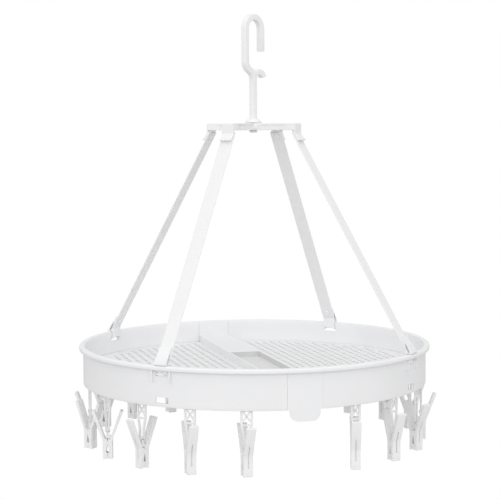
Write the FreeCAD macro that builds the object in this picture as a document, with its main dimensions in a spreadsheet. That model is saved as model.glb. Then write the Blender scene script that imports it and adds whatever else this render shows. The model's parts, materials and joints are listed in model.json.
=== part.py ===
import FreeCAD, Part
import math
import os
import re
import Sketcher

# Hanging round drying tray: a swivel hook carries a four-armed hub, four webbing straps carry a
# two-part tray on a centre bridge, and eighteen pegs dangle from loops under the skirt of the tray.
# Millimetres, +Z up.  The origin is the seat of the hook, the inside top of its bend.  The centre
# bridge runs along Y.  Heights named ...Level are measured from the rim plane of the tray.

doc = FreeCAD.newDocument("HangingDryingTray")
sheet = doc.addObject("Spreadsheet::Sheet", "Dims")

DIMENSIONS = [
    ("RimDrop", 366.5),           # seat of the hook to the rim plane
    ("WallRadius", 195.6), ("WallThickness", 2.0), ("WallHeight", 43.6),
    ("LipRadius", 200.0), ("LipHeight", 5.0), ("LipRound", 1.4),
    ("LedgeRadius", 189.6), ("LedgeLevel", -28.2), ("LedgeThickness", 1.8),
    ("SlotLevel", -11.5), ("SlotHeight", 4.2), ("SlotWidth", 17.0),
    ("WindowLevel", -39.7), ("WindowHeight", 6.3), ("WindowWidth", 15.8),
    ("RibSpacing", 22.0), ("RibThickness", 1.6), ("RibLength", 12.5), ("RibDepth", 3.4),
    ("SeamOffset", 19.0), ("SeamGap", 0.3),
    ("BridgeTopLevel", -18.0), ("BridgeDepth", 10.6),
    ("WellWidth", 34.8), ("WellFront", -150.0), ("WellBack", 42.0), ("WellDepth", 6.0),
    ("FlangeWidth", 56.0), ("FlangeThickness", 1.8), ("FlangeInset", 3.0), ("FlangeGap", 0.1),
    ("TabWidth", 33.0), ("TabLevel", -55.7), ("TabRound", 9.0), ("TabRoot", 3.0), ("TabInset", 0.6),
    ("FloorRadius", 193.2), ("FloorTopLevel", -26.0), ("FloorThickness", 2.0),
    ("HoleDiameter", 4.6), ("HolePitch", 11.0), ("HoleRow", 9.5), ("HoleMargin", 10.0),
    ("BarWidth", 6.4), ("BarRound", 1.4), ("BightRadius", 13.3), ("BightLevel", 356.4),
    ("ShankLevel", 320.0), ("CrotchLevel", 299.0), ("StemFootLevel", 252.0), ("PointLevel", 332.0),
    ("TongueRadius", 8.8), ("TongueEnd", 22.0), ("HookTurn", 34.5),
    ("FlangeRadius", 9.2), ("FlangeTopRadius", 4.0), ("FlangeHeight", 5.4), ("SocketDepth", 11.4),
    ("HubBottomLevel", 242.0), ("HubHeight", 8.0), ("HubBoss", 11.0), ("HubBore", 3.3),
    ("ArmWidth", 11.0), ("ArmLength", 46.0), ("ArmFlare", 1.0), ("ArmTaper", 6.0),
    ("TineThickness", 2.0), ("TineLength", 10.6), ("TineGap", 0.3), ("TineRoot", 1.0),
    ("PinRadius", 3.2), ("PinHeadRadius", 4.6), ("PinHeadHeight", 2.6), ("PinEngagement", 3.0),
    ("StrapFootR", 196.0), ("StrapFootLevel", 2.0), ("StrapHeadR", 52.0), ("StrapHeadLevel", 246.0),
    ("StrapWidth", 16.0), ("StrapThickness", 1.3), ("StrapInset", 4.5), ("StrapGap", 0.05),
    ("StrapHeadGap", 2.0),
    ("BarRadius", 2.0), ("BarFit", 0.15), ("KnuckleRadius", 3.9), ("KnuckleWidth", 10.6),
    ("ClipWidth", 14.6), ("ClipPlate", 2.4), ("UpperClipLength", 18.0), ("LowerClipLength", 19.0),
    ("NeckLength", 6.0), ("NeckStart", 7.0), ("ClipLipHeight", 2.4), ("ClipLipDrop", 0.6),
    ("LegGap", 0.5), ("LegThickness", 2.2), ("LegLevel", -6.6),
    ("ProngWidth", 2.6), ("ProngLevel", -8.7), ("SnapHeight", 1.1), ("SnapReach", 4.0),
    ("SaddleRadius", 199.6), ("SaddleLevel", 2.2), ("HeelLevel", 2.9),
    ("GussetTopRadius", 190.4), ("GussetTopLevel", 13.8), ("GussetFootRadius", 193.1), ("GussetFootLevel", 4.5),
    ("StudRadius", 1.9), ("StudHeadRadius", 3.3), ("StudHeadHeight", 1.2), ("StudInset", 5.5),
    ("StudSink", 0.2), ("StudPlay", 0.5), ("StudHoleFit", 0.2),
    ("PegPitch", 18.0), ("PegRadius", 191.0), ("PegEyeLevel", -81.0), ("PegPivotLevel", -92.5),
    ("PegWidth", 10.0), ("PegHalfDepth", 5.3), ("PegGap", 0.25), ("PegBottom", -21.5),
    ("PegArch", 1.2), ("PegToe", 0.5), ("PegShoulder", 2.0), ("JawTop", 1.6), ("FulcrumLevel", -3.2),
    ("SlitWidth", 1.9), ("SlitTop", -3.8), ("SlitLevel", -12.6), ("SlitStep", 0.3),
    ("GrooveHalf", 0.75), ("GrooveLow", -11.5), ("GrooveHigh", 6.0),
    ("HandleTop", 33.4), ("HandleReach", 17.0), ("HandleThickness", 3.5), ("HandleSlope", 0.9),
    ("HandleFoot", 2.6), ("HandleFootLevel", 2.4),
    ("SeatRadius", 2.25), ("SpringRadius", 1.9), ("SpringBore", 1.2), ("SpringWidth", 8.0),
    ("EyeRadius", 2.4), ("EyeBore", 1.45), ("EyeWidth", 3.0), ("EyeNeck", 1.5), ("EyeLift", 3.2),
    ("EyeFootReach", 0.8), ("EyeFootHeight", 2.6),
    ("LinkWidth", 12.4), ("LinkRail", 1.7), ("LinkThickness", 1.8), ("LinkBar", 1.4),
    ("LinkFootWidth", 6.8), ("LinkFootRail", 1.6), ("LinkTopLevel", -35.2), ("LinkShoulder", -47.0),
    ("LinkWaist", -62.0), ("LinkBrace", 0.6), ("BraceDrop", 1.6), ("BraceTop", 0.8), ("BraceFoot", 1.4),
    ("CleatWidth", 6.0), ("CleatThickness", 1.6), ("CleatReach", 6.2), ("CleatRoot", 0.4),
    ("CleatLipThickness", 1.3), ("CleatLipHeight", 2.4), ("CleatGap", 0.3), ("RibRoot", 0.4),
]
for row, (alias, number) in enumerate(DIMENSIONS, start=1):
    sheet.set("A%d" % row, alias)
    sheet.set("B%d" % row, str(number))
    sheet.setAlias("B%d" % row, alias)
doc.recompute()
DIM = {alias: float(sheet.get(alias)) for alias, _ in DIMENSIONS}

STRAP_AZIMUTHS = (-135.0, -45.0, 45.0, 135.0)
BRIDGE_ENDS = (-90.0, 90.0)
PEGS_PER_SIDE = 9
CLEAR = 1.0          # cutting tools run this far past the faces that they open
# Pegs near the front hang turned about the vertical on their loops, by these angles.
PEG_TWIST = {1: -33.0, 2: -25.0, 3: -28.0, 14: -47.0, 15: -33.0, 16: -12.0, 17: 38.0, 18: 21.0}
PLANE = {"top": "XY_Plane", "side": "XZ_Plane", "end": "YZ_Plane"}
sub_parts = []


# ---------------------------------------------------------------- helpers

def bound(text):
    """Turn a formula of dimension names into an expression on the sheet."""
    return re.sub(r"\b([A-Z]\w+)", r"Dims.\1", text)


def bind(thing, **formulas):
    for prop, text in formulas.items():
        thing.setExpression(prop, bound(text))
    return thing


def level(height):
    """Height in the model of a level measured from the rim plane."""
    return height - DIM["RimDrop"]


def place(x=0.0, y=0.0, z=0.0, turn=0.0, lean=0.0):
    """Lean about Y, then turn about Z, then move."""
    rotation = FreeCAD.Rotation(FreeCAD.Vector(0, 0, 1), turn).multiply(
        FreeCAD.Rotation(FreeCAD.Vector(0, 1, 0), lean))
    return FreeCAD.Placement(FreeCAD.Vector(x, y, z), rotation)


def box(name, length, width, height, placement):
    thing = doc.addObject("Part::Box", name)
    bind(thing, Length=length, Width=width, Height=height)
    thing.Placement = placement
    return thing


def cylinder(name, radius, height, placement):
    thing = doc.addObject("Part::Cylinder", name)
    bind(thing, Radius=radius, Height=height)
    thing.Placement = placement
    return thing


def lying(x, y, z):
    """Placement that lays a cylinder along +Y."""
    return FreeCAD.Placement(FreeCAD.Vector(x, y, z), FreeCAD.Rotation(FreeCAD.Vector(1, 0, 0), -90))


def fuse(name, things):
    result = doc.addObject("Part::MultiFuse", name)
    result.Shapes = things
    return result


def cut(name, base, tool):
    result = doc.addObject("Part::Cut", name)
    result.Base = base
    result.Tool = tool
    return result


def common(name, base, tool):
    result = doc.addObject("Part::Common", name)
    result.Base = base
    result.Tool = tool
    return result


def finish(thing, node):
    """Name a sub-part after its node and list it for writing."""
    thing.Label = node
    sub_parts.append((node, thing))
    return thing


def new_body(name):
    return doc.addObject("PartDesign::Body", name)


def new_sketch(body, name, plane):
    sketch = body.newObject("Sketcher::SketchObject", name)
    role = PLANE[plane]
    origin_plane = [item for item in body.Origin.OriginFeatures if item.Role == role][0]
    sketch.AttachmentSupport = [(origin_plane, "")]
    sketch.MapMode = "FlatFace"
    return sketch


def loop(sketch, corners):
    """Closed outline whose corners are pairs of formulas of dimension names."""
    first = sketch.GeometryCount
    count = len(corners)
    points = [FreeCAD.Vector(math.cos(2 * math.pi * i / count), math.sin(2 * math.pi * i / count), 0)
              for i in range(count)]
    for i, point in enumerate(points):
        sketch.addGeometry(Part.LineSegment(point, points[(i + 1) % count]), False)
    for i in range(count):
        following = first + (i + 1) % count
        sketch.addConstraint(Sketcher.Constraint("Coincident", first + i, 2, following, 1))
    for i, (across, up) in enumerate(corners):
        for kind, formula in (("DistanceX", across), ("DistanceY", up)):
            number = sketch.addConstraint(Sketcher.Constraint(kind, first + i, 1, 1.0 + i))
            sketch.setExpression("Constraints[%d]" % number, bound(formula))


def ring_outline(sketch, radius, across="0", up="0"):
    """Circle whose radius and centre are formulas of dimension names."""
    index = sketch.addGeometry(Part.Circle(FreeCAD.Vector(1, 1, 0), FreeCAD.Vector(0, 0, 1), 2.0), False)
    for kind, args, formula in (("Radius", (index,), radius), ("DistanceX", (index, 3), across),
                                ("DistanceY", (index, 3), up)):
        number = sketch.addConstraint(Sketcher.Constraint(kind, *args, 2.0))
        sketch.setExpression("Constraints[%d]" % number, bound(formula))


def pad(body, name, sketch, length, midplane=True, reverse=False):
    feature = body.newObject("PartDesign::Pad", name)
    feature.Profile = sketch
    feature.Midplane = midplane
    feature.Reversed = reverse
    feature.setExpression("Length", bound(length))
    return feature


def pocket(body, name, sketch, midplane=True, reverse=False):
    feature = body.newObject("PartDesign::Pocket", name)
    feature.Profile = sketch
    feature.Type = "ThroughAll"
    feature.Midplane = midplane
    feature.Reversed = reverse
    return feature


# ---------------------------------------------------------------- hook and swivel pin

def bar_sweep(name, edges, start, heading):
    """Square bar with rounded corners swept along a route in the XZ plane."""
    side = DIM["BarWidth"] / 2
    blank = Part.makePlane(2 * side, 2 * side, FreeCAD.Vector(-side, -side, 0))
    square = blank.extrude(FreeCAD.Vector(0, 0, 1))
    upright = [edge for edge in square.Edges if abs(edge.tangentAt(edge.FirstParameter).z) > 0.9]
    rounded = square.makeFillet(DIM["BarRound"], upright)
    outline = [face for face in rounded.Faces if face.CenterOfMass.z < 1e-6][0].OuterWire
    outline.Placement = FreeCAD.Placement(start, FreeCAD.Rotation(FreeCAD.Vector(0, 0, 1), heading))
    section = doc.addObject("Part::Feature", name + "Section")
    section.Shape = outline
    route = doc.addObject("Part::Feature", name + "Route")
    route.Shape = Part.Wire(edges)
    sweep = doc.addObject("Part::Sweep", name)
    sweep.Sections = [section]
    sweep.Spine = (route, ["Edge%d" % (i + 1) for i in range(len(edges))])
    sweep.Solid = True
    return sweep


def arc(centre_x, centre_z, radius, start, end):
    """Arc in the XZ plane between two angles in degrees, in the order given."""
    def on(angle):
        a = math.radians(angle)
        return FreeCAD.Vector(centre_x + radius * math.cos(a), 0, centre_z + radius * math.sin(a))
    return Part.Arc(on(start), on((start + end) / 2), on(end)).toShape()


def line(x1, z1, x2, z2):
    return Part.LineSegment(FreeCAD.Vector(x1, 0, z1), FreeCAD.Vector(x2, 0, z2)).toShape()


def make_hook():
    half = DIM["BightRadius"]
    foot, crotch = level(DIM["StemFootLevel"]), level(DIM["CrotchLevel"])
    shank, bight = level(DIM["ShankLevel"]), level(DIM["BightLevel"])
    rise = shank - crotch
    turn = 2 * math.degrees(math.atan2(half, rise))
    bend = rise / (2 * math.sin(math.radians(turn)))
    edges = [
        line(0, foot, 0, crotch),
        arc(-bend, crotch, bend, 0, turn),
        arc(-half + bend, shank, bend, 180 + turn, 180),
        line(-half, shank, -half, bight),
        arc(0, bight, half, 180, 0),
        line(half, bight, half, level(DIM["PointLevel"])),
    ]
    bar = bar_sweep("HookBar", edges, FreeCAD.Vector(0, 0, foot), 0)
    reach = DIM["TongueRadius"]
    tongue = bar_sweep("HookTongue", [arc(reach, crotch, reach, 180, DIM["TongueEnd"])],
                       FreeCAD.Vector(0, 0, crotch), 0)
    flange = doc.addObject("Part::Cone", "HookFlange")
    bind(flange, Radius1="FlangeRadius", Radius2="FlangeTopRadius", Height="FlangeHeight")
    hub_top = level(DIM["HubBottomLevel"] + DIM["HubHeight"])
    flange.Placement = place(z=hub_top + DIM["SeamGap"])
    socket = cylinder("HookSocket", "PinRadius", "SocketDepth", place(z=hub_top - CLEAR))
    hook = cut("Hook", fuse("HookMoulding", [bar, tongue, flange]), socket)
    hook.Placement = place(turn=DIM["HookTurn"])
    finish(hook, "hook")


def make_swivel_pin():
    foot = place(z=level(DIM["HubBottomLevel"]) - DIM["SeamGap"] - DIM["PinHeadHeight"])
    head = cylinder("PinHead", "PinHeadRadius", "PinHeadHeight", foot)
    shaft = cylinder("PinShaft", "PinRadius", "HubHeight + PinHeadHeight + FlangeHeight + PinEngagement", foot)
    finish(fuse("SwivelPin", [head, shaft]), "swivel_pin")


# ---------------------------------------------------------------- hub, straps and clips

def make_hub():
    body = new_body("HubBody")
    boss = new_sketch(body, "HubBossSketch", "top")
    ring_outline(boss, "HubBoss")
    pad(body, "HubBossPad", boss, "HubHeight")
    arm = new_sketch(body, "HubArmSketch", "top")
    fork_half = "(KnuckleWidth / 2 + TineThickness + TineGap)"
    upper = [("ArmLength", fork_half), ("ArmLength - ArmTaper", "(ArmWidth / 2)"),
             ("HubBoss", "(ArmWidth / 2 + ArmFlare)"), ("HubBoss / 2", "(ArmWidth / 2 + ArmFlare)")]
    loop(arm, [(reach, "-" + half) for reach, half in reversed(upper)] + upper)
    arm_pad = pad(body, "HubArmPad", arm, "HubHeight")
    tines = new_sketch(body, "HubTineSketch", "top")
    for sign in ("", "-"):
        near, far = sign + "(KnuckleWidth / 2 + TineGap)", sign + fork_half
        loop(tines, [("ArmLength - TineRoot", near), ("ArmLength + TineLength", near),
                     ("ArmLength + TineLength", far), ("ArmLength - TineRoot", far)])
    tine_pad = pad(body, "HubTinePad", tines, "HubHeight")
    bar = new_sketch(body, "HubBarSketch", "side")
    ring_outline(bar, "BarRadius", "StrapHeadR", "0")
    bar_pad = pad(body, "HubBarPad", bar, "KnuckleWidth + 2 * TineThickness")
    pattern = body.newObject("PartDesign::PolarPattern", "HubArms")
    pattern.Originals = [arm_pad, tine_pad, bar_pad]
    axis = [item for item in body.Origin.OriginFeatures if item.Role == "Z_Axis"][0]
    pattern.Axis = (axis, [""])
    pattern.Angle = 360
    pattern.Occurrences = 4
    body.Tip = pattern
    bore = new_sketch(body, "HubBoreSketch", "top")
    ring_outline(bore, "HubBore")
    pocket(body, "HubBorePocket", bore)
    body.Placement = place(z=level(DIM["HubBottomLevel"] + DIM["HubHeight"] / 2), turn=45)
    finish(body, "hub")


def strap_line():
    """Foot of a strap line in the radial plane, its lean in degrees and its length."""
    run = DIM["StrapFootR"] - DIM["StrapHeadR"]
    rise = DIM["StrapHeadLevel"] - DIM["StrapFootLevel"]
    return math.degrees(math.atan2(run, rise)), math.hypot(run, rise)


def along(distance, outward=0.0, side=0.0):
    """Placement on a strap line, distance up from its foot; +Z runs up the line, +X outward."""
    lean, _ = strap_line()
    a = math.radians(lean)
    x = DIM["StrapFootR"] - distance * math.sin(a) + outward * math.cos(a)
    z = level(DIM["StrapFootLevel"]) + distance * math.cos(a) + outward * math.sin(a)
    return place(x=x, y=side, z=z, lean=-lean)


def facing_inward(distance, outward):
    """Placement on a strap line of a cylinder that points inward, square to the strap."""
    spot = along(distance, outward)
    turned = FreeCAD.Placement(FreeCAD.Vector(), FreeCAD.Rotation(FreeCAD.Vector(0, 1, 0), -90))
    return spot.multiply(turned)


def stud(name, distance):
    """Rivet stud of a clip: a shank through the webbing and a flat head inside it."""
    inner_face = -DIM["ClipPlate"] / 2 + DIM["StudSink"]
    shank = cylinder(name + "Shank", "StudRadius", "StrapThickness + StudPlay + StudSink",
                     facing_inward(distance, inner_face))
    head_at = inner_face - DIM["StudPlay"] - DIM["StrapThickness"]
    head = cylinder(name + "Head", "StudHeadRadius", "StudHeadHeight", facing_inward(distance, head_at))
    return [shank, head]


def make_straps():
    _, length = strap_line()
    for number, azimuth in enumerate(STRAP_AZIMUTHS, start=1):
        half = DIM["StrapWidth"] / 2
        inner_face = -DIM["ClipPlate"] / 2 - DIM["StrapGap"] - DIM["StrapThickness"]
        spot = along(DIM["StrapInset"], inner_face, -half)
        web = doc.addObject("Part::Box", "Web%d" % number)
        bind(web, Length="StrapThickness", Width="StrapWidth")
        web.setExpression("Height", bound("sqrt((StrapFootR - StrapHeadR)^2 + "
                                          "(StrapHeadLevel - StrapFootLevel)^2) - 2 * StrapInset - StrapHeadGap"))
        web.Placement = spot
        holes = [cylinder("WebHole%d%s" % (number, end), "StudRadius + StudHoleFit",
                          "ClipPlate + 2 * StrapThickness", facing_inward(at, 0))
                 for end, at in (("Foot", DIM["LowerClipLength"] - DIM["StudInset"]),
                                 ("Head", length - DIM["UpperClipLength"] + DIM["StudInset"]))]
        strap = cut("Strap%d" % number, web, fuse("WebHoles%d" % number, holes))
        strap.Placement = place(turn=azimuth)
        finish(strap, "strap_%d" % number)


def make_upper_clips():
    """Clip that snaps over the cross bar of a hub arm and carries the head of a strap."""
    _, length = strap_line()
    bar_x, bar_z = DIM["StrapHeadR"], level(DIM["StrapHeadLevel"])
    for number, azimuth in enumerate(STRAP_AZIMUTHS, start=1):
        name = "UpperClip%d" % number
        barrel = cylinder(name + "Barrel", "KnuckleRadius", "KnuckleWidth",
                          lying(bar_x, -DIM["KnuckleWidth"] / 2, bar_z))
        neck_at = along(length - DIM["NeckStart"], -DIM["ClipPlate"] / 2, -DIM["KnuckleWidth"] / 2)
        neck = box(name + "Neck", "ClipPlate", "KnuckleWidth", "NeckLength", neck_at)
        foot = length - DIM["UpperClipLength"]
        plate = box(name + "Plate", "ClipPlate", "ClipWidth", "UpperClipLength - NeckLength",
                    along(foot, -DIM["ClipPlate"] / 2, -DIM["ClipWidth"] / 2))
        lip = box(name + "Lip", "ClipPlate", "ClipWidth", "ClipLipHeight",
                  along(foot - DIM["ClipLipDrop"], 0, -DIM["ClipWidth"] / 2))
        solids = [barrel, neck, plate, lip] + stud(name + "Stud", foot + DIM["StudInset"])
        bore = cylinder(name + "Bore", "BarRadius + BarFit", "2 * KnuckleWidth",
                        lying(bar_x, -DIM["KnuckleWidth"], bar_z))
        clip = cut(name, fuse(name + "Moulding", solids), bore)
        clip.Placement = place(turn=azimuth)
        finish(clip, "upper_clip_%d" % number)


def make_lower_clips():
    """Clip that sits on the rim: a gusset under the strap, and a leg whose two prongs snap into the slot."""
    leg_at = DIM["WallRadius"] - DIM["WallThickness"] - DIM["LegGap"] - DIM["LegThickness"]
    heel = "WallRadius - WallThickness - LegGap - LegThickness"
    half = DIM["ClipWidth"] / 2
    for number, azimuth in enumerate(STRAP_AZIMUTHS, start=1):
        name = "LowerClip%d" % number
        gusset = new_body(name + "Gusset")
        profile = new_sketch(gusset, name + "Profile", "side")
        loop(profile, [(heel, "LegGap"), ("SaddleRadius", "LegGap"), ("SaddleRadius", "SaddleLevel"),
                       ("GussetTopRadius", "GussetTopLevel"), ("GussetFootRadius", "GussetFootLevel"),
                       (heel, "HeelLevel")])
        pad(gusset, name + "Pad", profile, "ClipWidth")
        gusset.Placement = place(z=level(0))
        leg = box(name + "Leg", "LegThickness", "ClipWidth", "2 * LegGap - LegLevel",
                  place(x=leg_at, y=-half, z=level(DIM["LegLevel"])))
        plate = box(name + "Plate", "ClipPlate", "ClipWidth", "LowerClipLength",
                    along(0, -DIM["ClipPlate"] / 2, -half))
        solids = [gusset, leg, plate] + stud(name + "Stud", DIM["LowerClipLength"] - DIM["StudInset"])
        for end, side in (("Low", -half), ("High", half - DIM["ProngWidth"])):
            at_foot = place(x=leg_at, y=side, z=level(DIM["ProngLevel"]))
            prong = box(name + "Prong" + end, "LegThickness", "ProngWidth", "LegLevel - ProngLevel + LegGap",
                        at_foot)
            snap = box(name + "Snap" + end, "LegThickness + SnapReach", "ProngWidth", "SnapHeight", at_foot)
            solids += [prong, snap]
        clip = fuse(name, solids)
        clip.Placement = place(turn=azimuth)
        finish(clip, "lower_clip_%d" % number)


# ---------------------------------------------------------------- tray

def peg_azimuths():
    """Pegs stand at one pitch round the tray, leaving out the two ends of the bridge."""
    steps = range(1, PEGS_PER_SIDE + 1)
    pitch = DIM["PegPitch"]
    return [-90 + pitch * k for k in steps] + [90 + pitch * k for k in steps]


def make_ring():
    """Whole wall of the tray before it is parted at the seams."""
    body = new_body("RingBody")
    section = new_sketch(body, "RingSketch", "side")
    inner = "WallRadius - WallThickness"
    loop(section, [(inner, "-WallHeight"), ("WallRadius", "-WallHeight"), ("WallRadius", "-LipHeight"),
                   ("LipRadius", "-LipHeight"), ("LipRadius", "-LipRound"), ("LipRadius - LipRound", "0"),
                   (inner, "0"), (inner, "LedgeLevel"), ("LedgeRadius", "LedgeLevel"),
                   ("LedgeRadius", "LedgeLevel - LedgeThickness"), (inner, "LedgeLevel - LedgeThickness")])
    turned = body.newObject("PartDesign::Revolution", "RingTurn")
    turned.Profile = section
    turned.ReferenceAxis = (section, ["V_Axis"])
    turned.Angle = 360
    body.Placement = place(z=level(0))
    ribs = []
    for number, azimuth in enumerate(STRAP_AZIMUTHS, start=1):
        for side in (-1, 1):
            at_foot = place(x=DIM["WallRadius"] - DIM["RibRoot"],
                            y=side * DIM["RibSpacing"] / 2 - DIM["RibThickness"] / 2,
                            z=level(-DIM["LipHeight"] - DIM["RibLength"] + DIM["RibRoot"]))
            rib = box("Rib%d%s" % (number, "L" if side < 0 else "R"), "RibDepth", "RibThickness", "RibLength",
                      at_foot)
            rib.Placement = place(turn=azimuth).multiply(rib.Placement)
            ribs.append(rib)
    cleats = []
    for number, azimuth in enumerate(peg_azimuths(), start=1):
        face = DIM["WallRadius"] - DIM["WallThickness"]
        half = DIM["CleatWidth"] / 2
        shelf_level = DIM["LinkTopLevel"] - DIM["LinkThickness"] - DIM["CleatGap"] - DIM["CleatThickness"]
        at_end = place(x=face - DIM["CleatReach"], y=-half, z=level(shelf_level))
        shelf = box("CleatShelf%d" % number, "CleatReach + CleatRoot", "CleatWidth", "CleatThickness", at_end)
        lip = box("CleatLip%d" % number, "CleatLipThickness", "CleatWidth", "CleatThickness + CleatLipHeight",
                  at_end)
        for thing in (shelf, lip):
            thing.Placement = place(turn=azimuth).multiply(thing.Placement)
            cleats.append(thing)
    slots = []
    for number, azimuth in enumerate(STRAP_AZIMUTHS, start=1):
        for name, width, height, low in (("Slot", "SlotWidth", "SlotHeight", "SlotLevel"),
                                         ("Window", "WindowWidth", "WindowHeight", "WindowLevel")):
            tool = box("%s%d" % (name, number), "4 * WallThickness", width, height,
                       place(x=DIM["WallRadius"] - 2 * DIM["WallThickness"], y=-DIM[width] / 2,
                             z=level(DIM[low])))
            tool.Placement = place(turn=azimuth).multiply(tool.Placement)
            slots.append(tool)
    return cut("Ring", fuse("RingMoulding", [body] + ribs + cleats), fuse("RingSlots", slots))


def side_box(name, sign):
    """Half space on one side of the bridge, from its seam outward."""
    reach = 2 * DIM["LipRadius"]
    start = DIM["SeamOffset"] + DIM["SeamGap"] / 2
    tool = box(name, "2 * LipRadius", "4 * LipRadius", "4 * WallHeight",
               place(x=start if sign > 0 else -start - reach, y=-reach, z=level(-2 * DIM["WallHeight"])))
    return tool


def make_walls(ring):
    for side, sign in (("left", -1), ("right", 1)):
        finish(common("%sWall" % side.title(), ring, side_box("%sSide" % side.title(), sign)), side + "_wall")


def make_bridge(ring):
    """Centre bridge: its piece of the rim at both ends, the beam with its well, and two end tabs."""
    half = DIM["SeamOffset"] - DIM["SeamGap"] / 2
    middle = box("BridgeBand", "2 * SeamOffset - SeamGap", "4 * LipRadius", "4 * WallHeight",
                 place(x=-half, y=-2 * DIM["LipRadius"], z=level(-2 * DIM["WallHeight"])))
    rim_ends = common("BridgeRims", ring, middle)
    beam_blank = box("BeamBlank", "2 * SeamOffset - SeamGap", "2 * WallRadius", "BridgeDepth",
                     place(x=-half, y=-DIM["WallRadius"], z=level(DIM["BridgeTopLevel"] - DIM["BridgeDepth"])))
    flange_top = DIM["FloorTopLevel"] - DIM["FloorThickness"] - DIM["FlangeGap"]
    flange = box("BeamFlange", "FlangeWidth", "2 * LedgeRadius - 2 * FlangeInset", "FlangeThickness",
                 place(x=-DIM["FlangeWidth"] / 2, y=-DIM["LedgeRadius"] + DIM["FlangeInset"],
                       z=level(flange_top - DIM["FlangeThickness"])))
    well = box("BeamWell", "WellWidth", "WellBack - WellFront", "2 * WellDepth",
               place(x=-DIM["WellWidth"] / 2, y=DIM["WellFront"],
                     z=level(DIM["BridgeTopLevel"] - DIM["WellDepth"])))
    disc = cylinder("BeamDisc", "WallRadius - WallThickness / 2", "3 * WallHeight",
                    place(z=level(-2 * DIM["WallHeight"])))
    beam = common("Beam", cut("BeamCut", fuse("BeamMoulding", [beam_blank, flange]), well), disc)
    tabs = []
    for number, azimuth in enumerate(BRIDGE_ENDS, start=1):
        body = new_body("TabBody%d" % number)
        outline = new_sketch(body, "TabSketch%d" % number, "end")
        loop(outline, [("-TabWidth / 2", "-WallHeight + TabRoot"), ("-TabWidth / 2", "TabLevel"),
                       ("TabWidth / 2", "TabLevel"), ("TabWidth / 2", "-WallHeight + TabRoot")])
        blank = pad(body, "TabPad%d" % number, outline, "WallThickness", midplane=False)
        doc.recompute()
        corners = ["Edge%d" % (i + 1) for i, edge in enumerate(blank.Shape.Edges)
                   if abs(edge.tangentAt(edge.FirstParameter).x) > 0.9
                   and edge.CenterOfMass.z < DIM["TabLevel"] + CLEAR]
        rounded = body.newObject("PartDesign::Fillet", "TabRounds%d" % number)
        rounded.Base = (blank, corners)
        rounded.setExpression("Radius", bound("TabRound"))
        inset = DIM["WallRadius"] - DIM["WallThickness"] - DIM["TabInset"]
        body.Placement = place(turn=azimuth).multiply(place(x=inset, z=level(0)))
        tabs.append(body)
    finish(fuse("CentreBridge", [rim_ends, beam] + tabs), "centre_bridge")


def make_floors():
    """Perforated floor plates on each side of the bridge, with plain margins."""
    start = DIM["SeamOffset"] + DIM["SeamGap"] / 2
    radius = DIM["FloorRadius"]
    top = FreeCAD.Vector(0, 0, DIM["FloorThickness"])
    step = math.degrees(math.asin(start / radius))
    for side, turn in (("left", 180), ("right", 0)):
        low, high = -90 + step, 90 - step
        rim = [FreeCAD.Vector(radius * math.cos(math.radians(a)), radius * math.sin(math.radians(a)), 0)
               for a in (low, 0, high)]
        outline = Part.Wire([Part.Arc(*rim).toShape(), Part.LineSegment(rim[2], rim[0]).toShape()])
        holes = []
        usable = DIM["LedgeRadius"] - DIM["HoleMargin"]
        columns = int(usable / DIM["HoleRow"])
        for column in range(columns):
            x = start + DIM["HoleMargin"] + column * DIM["HoleRow"]
            if x > usable:
                continue
            reach = math.sqrt(usable ** 2 - x ** 2)
            offset = DIM["HolePitch"] / 2 if column % 2 else 0.0
            rows = range(-int((reach + offset) / DIM["HolePitch"]), int((reach - offset) / DIM["HolePitch"]) + 1)
            for row in rows:
                centre = FreeCAD.Vector(x, row * DIM["HolePitch"] + offset, 0)
                holes.append(Part.Wire(Part.makeCircle(DIM["HoleDiameter"] / 2, centre)))
        plate = Part.makeFace([outline] + holes, "Part::FaceMakerBullseye").extrude(top)
        floor = doc.addObject("Part::Feature", "%sFloor" % side.title())
        floor.Shape = plate
        floor.Placement = place(z=level(DIM["FloorTopLevel"] - DIM["FloorThickness"]), turn=turn)
        finish(floor, side + "_floor")


# ---------------------------------------------------------------- pegs and their loops

def make_link(name):
    """Flat loop that a peg hangs from: a wide braced head that narrows to a slim loop and its bar."""
    body = new_body(name)
    sketch = new_sketch(body, name + "Sketch", "end")
    wide, slim = "LinkWidth / 2", "LinkFootWidth / 2"
    inside, slim_inside = "(LinkWidth / 2 - LinkRail)", "(LinkFootWidth / 2 - LinkFootRail)"
    foot = "PegEyeLevel - LinkBar / 2"
    right = [(slim, foot), (slim, "LinkWaist"), (wide, "LinkShoulder"), (wide, "LinkTopLevel")]
    loop(sketch, right + [("-(%s)" % across, up) for across, up in reversed(right)])
    loop(sketch, [("-" + inside, "LinkShoulder + LinkBrace"), (inside, "LinkShoulder + LinkBrace"),
                  (inside, "LinkTopLevel - LinkThickness"), ("-" + inside, "LinkTopLevel - LinkThickness")])
    top, low = "LinkShoulder - LinkBrace", "LinkWaist + LinkBrace"
    middle = "(LinkShoulder + LinkWaist) / 2 - BraceDrop"
    above = "(LinkWidth / 2 - LinkRail - 2 * LinkBrace)"
    below = "(LinkFootWidth / 2 - LinkFootRail - LinkBrace)"
    loop(sketch, [("-" + above, top), ("0", middle + " + 2 * LinkBrace"), (above, top)])
    loop(sketch, [("-" + below, low), (below, low), ("0", middle + " - 2 * LinkBrace")])
    for sign in ("", "-"):
        loop(sketch, [(sign + inside, top + " - BraceTop"), (sign + "(1.5 * LinkBrace)", middle),
                      (sign + "(LinkFootWidth / 2 - LinkFootRail + 0.5 * LinkBrace)", low + " + BraceFoot")])
    bar_top, slot_top = "PegEyeLevel + LinkBar / 2", "LinkWaist - 1.5 * LinkBrace"
    loop(sketch, [("-" + slim_inside, bar_top), (slim_inside, bar_top), (slim_inside, slot_top),
                  ("-" + slim_inside, slot_top)])
    pad(body, name + "Pad", sketch, "LinkThickness")
    return body


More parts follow.
